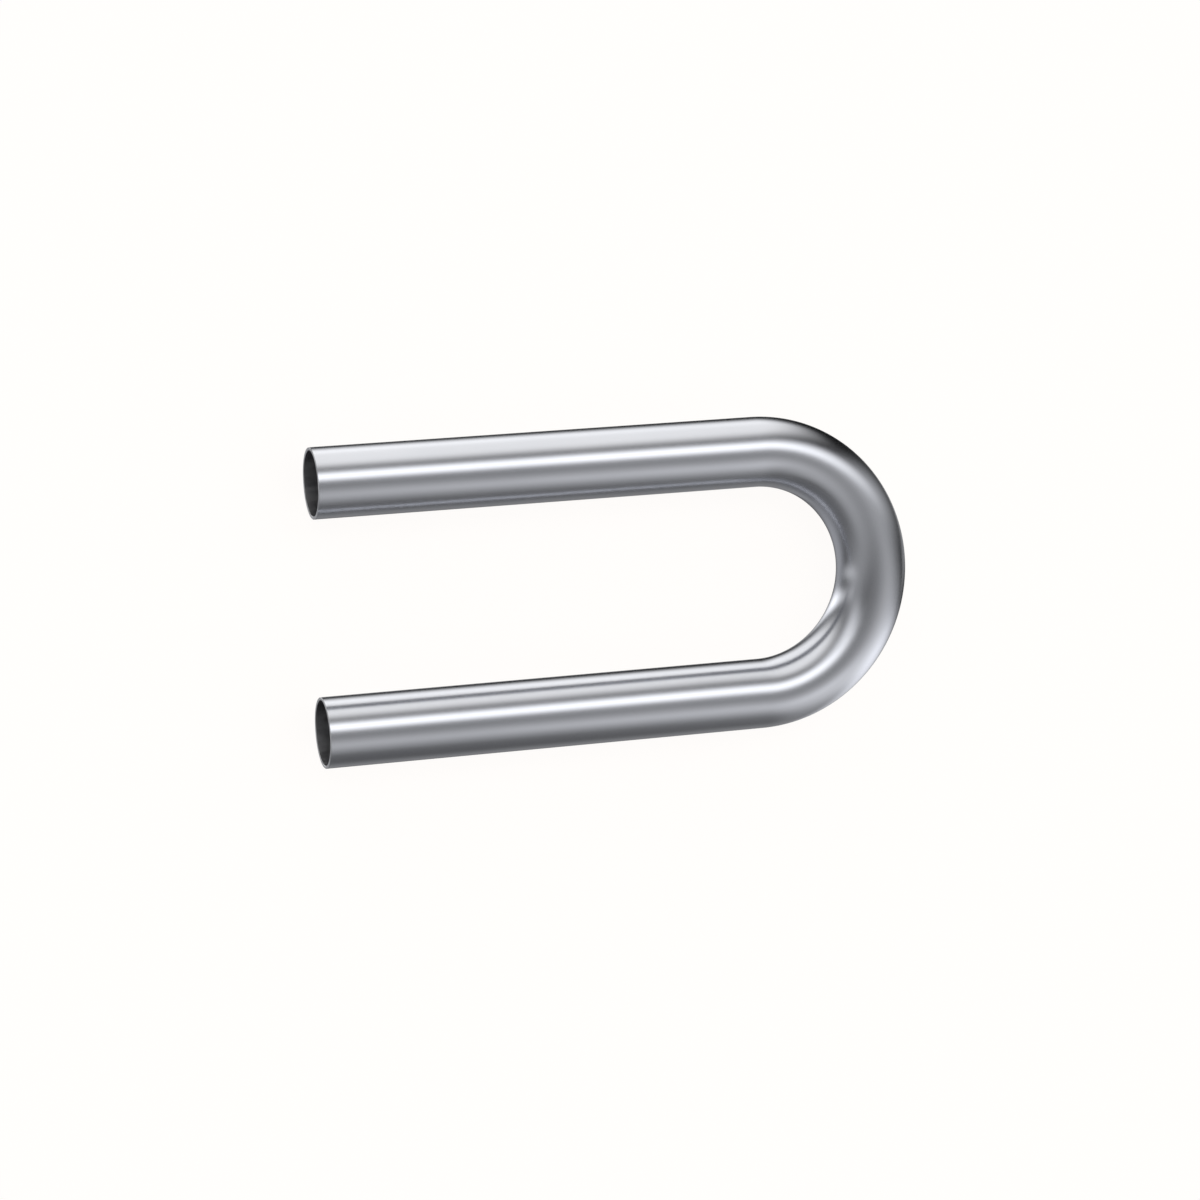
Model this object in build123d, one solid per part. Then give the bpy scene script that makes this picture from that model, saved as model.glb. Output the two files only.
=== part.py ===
from build123d import *

import math
import os

# Exhaust pipe bend: one length of round steel tube bent into a U, with a plain sawn end on each leg.
#
# The tube lies flat, as it rests on a bench. Both legs run along X, the bend is at +X, the cut ends
# face -X, and +Z is up. The origin is on the bench, under the middle of the tube's outline.

# Driving dimensions, in millimetres
tube_diameter = 50.8  # outside: 2 in exhaust tube
wall_thickness = 2.11  # 14 gauge, as the straight legs keep it
bend_radius = 88.9  # to the middle of the tube: 3.5 in die
leg_length = 327.0  # straight run, from the bend to the sawn end: 12 7/8 in
wall_drift = 0.35  # the bend's outside is stretched thinner by this at its crown, its inside squeezed thicker
deburr = 0.35  # bevel that the deburring tool leaves on both edges of a sawn end

# Sizes that follow from them
tube_radius = tube_diameter / 2
bore_radius = tube_radius - wall_thickness
overall_length = leg_length + bend_radius + tube_radius
bend_start_x = overall_length / 2 - tube_radius - bend_radius
end_x = bend_start_x - leg_length

# The bore drifts outwards all the way to the crown: half of the drift comes in the first 45 degrees
drift_turn = 45


def u_path(drift):
    """The line that a round section follows: leg, bend, leg, all tangent.

    With a drift of 0 the bend is one arc. Otherwise it is three, and the line bulges away from the
    bend's centre until it is the drift further out at the crown, and comes back.
    """
    turn = math.radians(drift_turn)
    rise = drift / (1 + math.tan(turn) - 1 / math.cos(turn))
    side_radius = bend_radius + rise
    crown_radius = side_radius - rise / math.cos(turn)
    first_leg = Line((end_x, bend_radius), (bend_start_x, bend_radius))
    if drift == 0:
        bend = [JernArc(first_leg @ 1, (1, 0), bend_radius, -180)]
    else:
        bend = [JernArc(first_leg @ 1, (1, 0), side_radius, -drift_turn)]
        bend.append(JernArc(bend[-1] @ 1, bend[-1] % 1, crown_radius, 2 * drift_turn - 180))
        bend.append(JernArc(bend[-1] @ 1, bend[-1] % 1, side_radius, -drift_turn))
    second_leg = Line(bend[-1] @ 1, (end_x, -bend_radius))
    return Wire([first_leg, *bend, second_leg])


def bent_rod(radius, drift=0.0):
    """A solid round rod bent along the U."""
    path = u_path(drift)
    start = Plane(origin=path @ 0, z_dir=path % 0)
    return sweep(start * Circle(radius), path=path)


def make_pipe_bend():
    """The tube: a bent rod less its bore, with the sawn ends deburred, lifted to lie on the bench."""
    tube = bent_rod(tube_radius) - bent_rod(bore_radius, wall_drift)
    sawn_faces = tube.faces().filter_by_position(Axis.X, end_x - deburr, end_x + deburr)
    tube = chamfer(sawn_faces.edges(), deburr)
    return Pos(0, 0, tube_radius) * tube


pipe_bend = make_pipe_bend()
pipe_bend.label = "pipe_bend"

os.makedirs("parts", exist_ok=True)
export_step(pipe_bend, "parts/pipe_bend.step")
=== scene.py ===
from math import cos, pi, radians, sin, tan

import bpy
from mathutils import Matrix, Vector


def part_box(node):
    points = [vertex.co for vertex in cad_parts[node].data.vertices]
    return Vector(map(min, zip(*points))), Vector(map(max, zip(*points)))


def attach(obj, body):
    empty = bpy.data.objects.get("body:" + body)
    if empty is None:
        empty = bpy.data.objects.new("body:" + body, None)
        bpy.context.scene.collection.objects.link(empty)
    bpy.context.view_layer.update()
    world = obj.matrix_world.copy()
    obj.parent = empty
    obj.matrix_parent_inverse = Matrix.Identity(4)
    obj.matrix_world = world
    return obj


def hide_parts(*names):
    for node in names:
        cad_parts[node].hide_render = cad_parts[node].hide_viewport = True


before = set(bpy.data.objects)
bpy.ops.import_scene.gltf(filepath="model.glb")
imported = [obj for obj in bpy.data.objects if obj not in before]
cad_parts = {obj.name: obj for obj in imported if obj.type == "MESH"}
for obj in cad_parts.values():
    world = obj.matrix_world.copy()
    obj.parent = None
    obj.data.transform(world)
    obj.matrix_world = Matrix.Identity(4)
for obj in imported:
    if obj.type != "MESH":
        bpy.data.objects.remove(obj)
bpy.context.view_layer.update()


# The camera looks steeply down on the bend from beyond its sawn ends, a little to the inlet side. It
# stands far off behind a long lens, so the two legs stay almost parallel.
camera_place = (-0.7606, 0.4018, 2.5471)
camera_turn = (-8.286, -16.828, -2.149)  # degrees about x, y and z
lens_mm = 111.04
sensor_mm = 36.0

camera_data = bpy.data.cameras.new("camera")
camera_data.lens = lens_mm
camera_data.sensor_width = sensor_mm
camera = bpy.data.objects.new("camera", camera_data)
camera.location = camera_place
camera.rotation_euler = [radians(turn) for turn in camera_turn]
bpy.context.scene.collection.objects.link(camera)
bpy.context.scene.camera = camera
bpy.context.scene.view_settings.view_transform = "Standard"


# Pipe bend: one length of welded steel tube, 50.8 mm across with a 2.1 mm wall, bent cold through 180
# degrees over a round die with a mandrel inside. The mandrel keeps it round. The wall comes out a little
# thinner round the outside of the bend and thicker round the inside, so the bore sits off centre there.
tube_radius = 0.0254
wall = 0.00211
bore_radius = tube_radius - wall
bend_radius = 0.0889
leg_length = 0.327
wall_drift = 0.00035
deburr = 0.00035

low, high = (Vector(corner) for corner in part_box("pipe_bend"))
sawn_x = low.x
bend_start_x = sawn_x + leg_length
bench_to_middle = low.z + tube_radius

points_round = 128
leg_steps = 22
bend_steps = 120


def middle_of_skin(turn):
    """Where the middle of the tube's outside is, once the bend has turned this far."""
    return Vector((bend_start_x + bend_radius * sin(turn), bend_radius * cos(turn), 0))


def middle_of_bore(turn):
    """The same for the bore: a wider arc, a tighter one over the crown, and the wider one again."""
    eighth = pi / 4
    rise = wall_drift / (1 + tan(eighth) - 1 / cos(eighth))
    side_radius = bend_radius + rise
    crown_radius = side_radius - rise / cos(eighth)
    outwards = Vector((sin(turn), cos(turn), 0))
    if turn < eighth:
        return Vector((bend_start_x, -rise, 0)) + side_radius * outwards
    if turn > pi - eighth:
        return Vector((bend_start_x, rise, 0)) + side_radius * outwards
    crown_centre = Vector((bend_start_x, -rise, 0)) + (side_radius - crown_radius) * Vector((sin(eighth), cos(eighth), 0))
    return crown_centre + crown_radius * outwards


def rings_along(radius, middle, margin):
    """Rings of points from the inlet's sawn end to the outlet's, each with where it was on the straight tube."""
    stations = []
    for step in range(leg_steps):
        run = margin + (leg_length - margin) * step / leg_steps
        stations.append((0.0, run - leg_length, run))
    for step in range(bend_steps + 1):
        turn = pi * step / bend_steps
        stations.append((turn, 0.0, leg_length + bend_radius * turn))
    for step in range(1, leg_steps + 1):
        run = (leg_length - margin) * step / leg_steps
        stations.append((pi, -run, leg_length + bend_radius * pi + run))
    return [ring(radius, middle(turn) + Vector((shift, 0, 0)), turn, along) for turn, shift, along in stations]


def ring(radius, centre, turn, along):
    outwards = Vector((sin(turn), cos(turn), 0))
    places = []
    unbent = []
    for point in range(points_round):
        angle = 2 * pi * point / points_round
        across, up = radius * cos(angle), radius * sin(angle)
        places.append(centre + across * outwards + Vector((0, 0, bench_to_middle + up)))
        unbent.append((along, across, up))
    return places, unbent


whole_run = 2 * leg_length + pi * bend_radius
skin = rings_along(tube_radius, middle_of_skin, deburr)
bore = rings_along(bore_radius, middle_of_bore, deburr)[::-1]
inlet_end = Vector((sawn_x, bend_radius, 0))
outlet_end = Vector((sawn_x, -bend_radius, 0))
outlet_face = [
    ring(tube_radius - deburr, outlet_end, pi, whole_run),
    ring(bore_radius + deburr, outlet_end, pi, whole_run),
]
inlet_face = [
    ring(bore_radius + deburr, inlet_end, 0.0, 0.0),
    ring(tube_radius - deburr, inlet_end, 0.0, 0.0),
]

rings = skin + outlet_face + bore + inlet_face
surfaces = (
    ["skin"] * (len(skin) - 1) + ["sawn"] * 3 + ["bore"] * (len(bore) - 1) + ["sawn"] * 3
)
finish_order = ["skin", "bore", "sawn"]

mesh = bpy.data.meshes.new("bent_tube")
faces = []
face_finish = []
for number, surface in enumerate(surfaces):
    here = number * points_round
    there = (number + 1) % len(rings) * points_round
    for point in range(points_round):
        after = (point + 1) % points_round
        faces.append((here + point, here + after, there + after, there + point))
        face_finish.append(finish_order.index(surface))
mesh.from_pydata([place for places, _ in rings for place in places], [], faces)
mesh.polygons.foreach_set("material_index", face_finish)
mesh.polygons.foreach_set("use_smooth", [True] * len(faces))
unbent_place = mesh.attributes.new("straight_tube", "FLOAT_VECTOR", "POINT")
unbent_place.data.foreach_set("vector", [value for _, unbent in rings for place in unbent for value in place])
mesh.set_sharp_from_angle(angle=radians(25))

bent_tube = bpy.data.objects.new("bent_tube", mesh)
bpy.context.scene.collection.objects.link(bent_tube)


def new_finish(name):
    """An empty metal finish: its shader, its node tree, and where each spot was on the straight tube."""
    material = bpy.data.materials.new(name)
    material.use_nodes = True
    nodes = material.node_tree.nodes
    shader = nodes["Principled BSDF"]
    shader.inputs["Metallic"].default_value = 1.0
    place = nodes.new("ShaderNodeAttribute")
    place.attribute_name = "straight_tube"
    return material, shader, place.outputs["Vector"]


def pattern(material, place, per_metre, detail=3.0, roughness=0.5):
    """Noise with so many marks a metre along, across and up the straight tube."""
    nodes, links = material.node_tree.nodes, material.node_tree.links
    stretch = nodes.new("ShaderNodeVectorMath")
    stretch.operation = "MULTIPLY"
    stretch.inputs[1].default_value = per_metre
    links.new(place, stretch.inputs[0])
    noise = nodes.new("ShaderNodeTexNoise")
    noise.inputs["Scale"].default_value = 1.0
    noise.inputs["Detail"].default_value = detail
    noise.inputs["Roughness"].default_value = roughness
    links.new(stretch.outputs["Vector"], noise.inputs["Vector"])
    return noise.outputs["Fac"]


def spread(material, value, low_value, high_value, from_low=0.3, from_high=0.7):
    """The pattern's middle part drawn out between two numbers."""
    nodes, links = material.node_tree.nodes, material.node_tree.links
    remap = nodes.new("ShaderNodeMapRange")
    remap.inputs["From Min"].default_value = from_low
    remap.inputs["From Max"].default_value = from_high
    remap.inputs["To Min"].default_value = low_value
    remap.inputs["To Max"].default_value = high_value
    links.new(value, remap.inputs["Value"])
    return remap.outputs["Result"]


def blend_colours(material, value, low_colour, high_colour, from_low=0.3, from_high=0.7):
    """The pattern drawn out between two colours."""
    nodes, links = material.node_tree.nodes, material.node_tree.links
    mix = nodes.new("ShaderNodeMix")
    mix.data_type = "RGBA"
    mix.inputs["A"].default_value = (*low_colour, 1)
    mix.inputs["B"].default_value = (*high_colour, 1)
    links.new(spread(material, value, 0.0, 1.0, from_low, from_high), mix.inputs["Factor"])
    return mix.outputs["Result"]


def press_in(material, shader, value, depth, strength=1.0):
    """The pattern as real relief, so deep in metres."""
    nodes, links = material.node_tree.nodes, material.node_tree.links
    bump = nodes.new("ShaderNodeBump")
    bump.inputs["Distance"].default_value = depth
    bump.inputs["Strength"].default_value = strength
    links.new(value, bump.inputs["Height"])
    links.new(bump.outputs["Normal"], shader.inputs["Normal"])


satin, shader, place = new_finish("satin_outside")
links = satin.node_tree.links
clouding = pattern(satin, place, (9, 30, 30), detail=4)
grain = pattern(satin, place, (260, 5200, 5200), detail=2)
links.new(blend_colours(satin, clouding, (0.54, 0.553, 0.594), (0.57, 0.582, 0.622)), shader.inputs["Base Color"])
links.new(spread(satin, grain, 0.195, 0.255), shader.inputs["Roughness"])
press_in(satin, shader, grain, 0.0000012)

dull, shader, place = new_finish("mill_finish_bore")
links = dull.node_tree.links
scale = pattern(dull, place, (40, 160, 160), detail=5)
links.new(blend_colours(dull, scale, (0.31, 0.312, 0.325), (0.41, 0.413, 0.43)), shader.inputs["Base Color"])
links.new(spread(dull, scale, 0.34, 0.46), shader.inputs["Roughness"])
press_in(dull, shader, scale, 0.00002)

bare, shader, place = new_finish("sawn_end")
links = bare.node_tree.links
saw_marks = pattern(bare, place, (900, 3600, 240), detail=2)
links.new(blend_colours(bare, saw_marks, (0.56, 0.565, 0.58), (0.66, 0.665, 0.68)), shader.inputs["Base Color"])
links.new(spread(bare, saw_marks, 0.24, 0.36), shader.inputs["Roughness"])
press_in(bare, shader, saw_marks, 0.000004)

for finish in (satin, dull, bare):
    mesh.materials.append(finish)

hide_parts("pipe_bend")
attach(bent_tube, "root")


# Floor: a plain white sweep that the bend lies on. It is wide enough to fill every view, and the metal
# doesn't mirror it, as it mirrors the dark studio below the table's edge instead.
floor_half = 30.0
floor_mesh = bpy.data.meshes.new("floor")
floor_corners = [(-floor_half, -floor_half, 0), (floor_half, -floor_half, 0), (floor_half, floor_half, 0), (-floor_half, floor_half, 0)]
floor_mesh.from_pydata(floor_corners, [], [(0, 1, 2, 3)])
floor = bpy.data.objects.new("floor", floor_mesh)
bpy.context.scene.collection.objects.link(floor)
paper = bpy.data.materials.new("white_paper")
paper.use_nodes = True
paper_shader = paper.node_tree.nodes["Principled BSDF"]
paper_shader.inputs["Base Color"].default_value = (0.08, 0.08, 0.08, 1)
paper_shader.inputs["Roughness"].default_value = 0.9
paper_shader.inputs["Specular IOR Level"].default_value = 0.0
paper_shader.inputs["Emission Color"].default_value = (1.0, 0.979, 0.961, 1)
paper_shader.inputs["Emission Strength"].default_value = 0.96
floor_mesh.materials.append(paper)
floor.visible_glossy = False


# Studio lights: large soft panels far from the table, with dark gaps between them that draw the long
# streaks on the metal. Each is given by its direction, its turn, its half sizes, how soft its edge is,
# and its brightness and colour.
world = bpy.data.worlds.new("studio")
bpy.context.scene.world = world
world.use_nodes = True
studio = world.node_tree
studio.nodes.clear()


def studio_math(operation, first, second=None):
    node = studio.nodes.new("ShaderNodeMath")
    node.operation = operation
    for socket, value in zip(node.inputs, (first, second)):
        if isinstance(value, (int, float)):
            socket.default_value = value
        elif value is not None:
            studio.links.new(value, socket)
    return node.outputs["Value"]


def studio_dot(axis):
    node = studio.nodes.new("ShaderNodeVectorMath")
    node.operation = "DOT_PRODUCT"
    studio.links.new(looking, node.inputs[0])
    node.inputs[1].default_value = axis
    return node.outputs["Value"]


looking = studio.nodes.new("ShaderNodeTexCoord").outputs["Generated"]


def panel(azimuth, elevation, roll, half_width, half_height, softness):
    """How much of a soft panel is seen in each direction, from 0 to 1."""
    azimuth, elevation, roll = radians(azimuth), radians(elevation), radians(roll)
    middle = Vector((cos(elevation) * cos(azimuth), cos(elevation) * sin(azimuth), sin(elevation)))
    level = Vector((-sin(azimuth), cos(azimuth), 0))
    upright = middle.cross(level)
    wide = (cos(roll) * level + sin(roll) * upright) / sin(radians(half_width))
    tall = (cos(roll) * upright - sin(roll) * level) / sin(radians(half_height))
    sideways, upwards = studio_dot(wide), studio_dot(tall)
    squares = studio_math("ADD", studio_math("MULTIPLY", sideways, sideways), studio_math("MULTIPLY", upwards, upwards))
    edge = studio.nodes.new("ShaderNodeMapRange")
    edge.interpolation_type = "SMOOTHSTEP"
    edge.inputs["From Min"].default_value = 1 - softness
    edge.inputs["From Max"].default_value = 1 + softness
    edge.inputs["To Min"].default_value = 1.0
    edge.inputs["To Max"].default_value = 0.0
    studio.links.new(studio_math("SQRT", squares), edge.inputs["Value"])
    in_front = studio_math("GREATER_THAN", studio_dot(middle), 0.0)
    return studio_math("MULTIPLY", edge.outputs["Result"], in_front)


def add_light(light, amount, colour):
    """The light so far plus one panel's."""
    lit = studio.nodes.new("ShaderNodeVectorMath")
    lit.operation = "MULTIPLY_ADD"
    studio.links.new(amount, lit.inputs[0])
    lit.inputs[1].default_value = colour
    studio.links.new(light, lit.inputs[2])
    return lit.outputs["Vector"]


# azimuth, elevation, roll, half width, half height and softness, then brightness and tint
neutral, warm, cool = (1.0, 1.0, 1.0), (1.01, 1.0, 0.975), (0.99, 1.0, 1.035)
panels = [
    ((45, 51.2, 50, 25, 11.25, 1.0), 1.49, neutral),
    ((96.5, -6, -16.5, 43, 44, 0.3), 1.37, warm),
    ((-34.7, -16, -6.4, 10, 34.4, 0.75), 1.02, cool),
    ((146.5, -66.9, -21.4, 6.4, 38.8, 1.0), 2.61, neutral),
    ((185.7, 16.8, 13.3, 37.9, 25.3, 1.0), 0.36, neutral),
    ((263.9, 54.3, -17.7, 43.4, 18.9, 0.92), 0.49, neutral),
    ((-38.7, 25.6, -17, 24.8, 46, 1.0), 0.74, neutral),
    ((212.5, -56.1, -44.6, 26.4, 52.8, 0.75), 0.47, cool),
    ((17.2, 17.9, -6.2, 12.1, 36, 1.0), 0.57, neutral),
    ((-48.3, 45.2, 0, 7, 9, 1.0), 0.2, cool),
    ((116.2, 60.9, 61, 11.5, 29.8, 0.79), 1.39, neutral),
    ((61.9, -39.2, 1.3, 17.7, 22.2, 0.43), 0.33, neutral),
    ((185.4, -7, -0.8, 4.8, 24, 0.83), 0.65, neutral),
    ((281.6, -41.7, 0, 16.8, 17.5, 0.7), 0.11, neutral),
]
unlit = studio.nodes.new("ShaderNodeCombineXYZ")
light = unlit.outputs["Vector"]
for shape, brightness, tint in panels:
    light = add_light(light, panel(*shape), Vector(tint) * brightness)

# Black cards stand in front of the panels and take this share of the light away
black_cards = [
    ((41.3, -52.8, 10.5, 13.5, 30.3, 0.71), 0.97),
    ((-72.8, 10.4, 1.9, 7.4, 40, 0.36), 0.28),
    ((78.5, -75.5, 10.5, 41.4, 16, 0.45), 0.49),
    ((85.4, 39.6, -8, 27.5, 6.9, 0.6), 0.12),
]
for shape, share in black_cards:
    shade = studio.nodes.new("ShaderNodeVectorMath")
    shade.operation = "SCALE"
    studio.links.new(light, shade.inputs[0])
    studio.links.new(studio_math("SUBTRACT", 1.0, studio_math("MULTIPLY", panel(*shape), share)), shade.inputs["Scale"])
    light = shade.outputs["Vector"]

studio_light = studio.nodes.new("ShaderNodeBackground")
studio.links.new(light, studio_light.inputs["Color"])
backdrop = studio.nodes.new("ShaderNodeBackground")
backdrop.inputs["Color"].default_value = (1.0, 0.992, 0.975, 1)
seen = studio.nodes.new("ShaderNodeLightPath")
either = studio.nodes.new("ShaderNodeMixShader")
studio.links.new(seen.outputs["Is Camera Ray"], either.inputs["Fac"])
studio.links.new(studio_light.outputs["Background"], either.inputs[1])
studio.links.new(backdrop.outputs["Background"], either.inputs[2])
world_output = studio.nodes.new("ShaderNodeOutputWorld")
studio.links.new(either.outputs["Shader"], world_output.inputs["Surface"])
